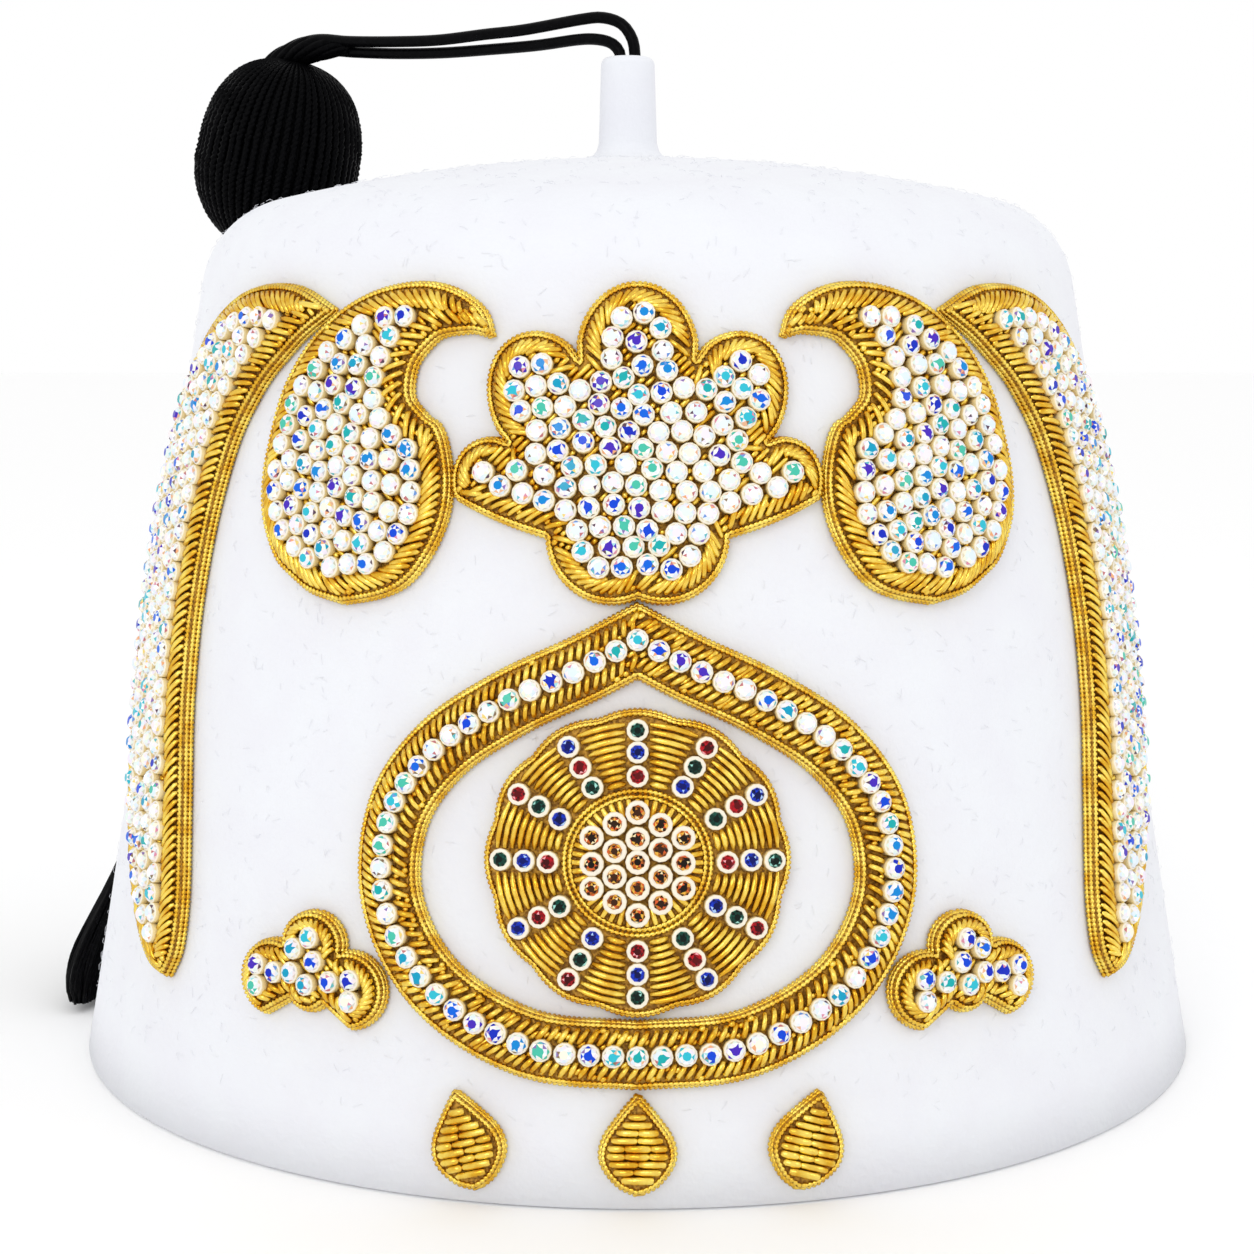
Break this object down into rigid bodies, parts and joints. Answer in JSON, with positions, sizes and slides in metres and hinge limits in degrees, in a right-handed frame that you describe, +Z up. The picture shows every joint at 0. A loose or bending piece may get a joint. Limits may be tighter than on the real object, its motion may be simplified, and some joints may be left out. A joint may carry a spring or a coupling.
{
  "type": "fez",
  "caption": "White felt fez: a tapered hollow crown with a felt stem, a black tassel on cords, and raised gold motifs set with stones.",
  "frame": {"origin": "on the crown's axis, in the plane that the rim rests on, at the bottom centre of the hat without its tassel", "axes": "+Z up along the crown's axis; the goldwork faces -Y; the tassel hangs at -X and a little behind"},
  "size_m": [0.1938, 0.1863, 0.169],
  "materials": {
    "white_felt": "dense brushed wool felt",
    "gold_purl": "coiled gilt wire, satin",
    "crystal": "faceted crystals with a rainbow coat in white cups",
    "amber_stone": "faceted amber glass in white cups",
    "colour_stone": "faceted red, blue and green glass in white cups",
    "black_silk": "satin cord and twisted silky strands"
  },
  "bodies": {
    "root": {"crown": "white_felt", "stem": "white_felt", "leaf_left_goldwork": "gold_purl", "leaf_left_stones": "crystal", "leaf_right_goldwork": "gold_purl", "leaf_right_stones": "crystal", "boteh_left_goldwork": "gold_purl", "boteh_left_stones": "crystal", "boteh_right_goldwork": "gold_purl", "boteh_right_stones": "crystal", "palmette_goldwork": "gold_purl", "palmette_stones": "crystal", "frame_goldwork": "gold_purl", "frame_stones": "crystal", "medallion_goldwork": "gold_purl", "sprig_left_goldwork": "gold_purl", "sprig_left_stones": "crystal", "sprig_right_goldwork": "gold_purl", "sprig_right_stones": "crystal", "medallion_amber_stones": "amber_stone", "medallion_colour_stones": "colour_stone", "bud_left": "gold_purl", "bud_centre": "gold_purl", "bud_right": "gold_purl", "tassel_cord_upper": "black_silk", "tassel_cord_lower": "black_silk", "tassel_head": "black_silk", "tassel_binding": "black_silk", "tassel_skirt": "black_silk"}
  },
  "joints": []
}
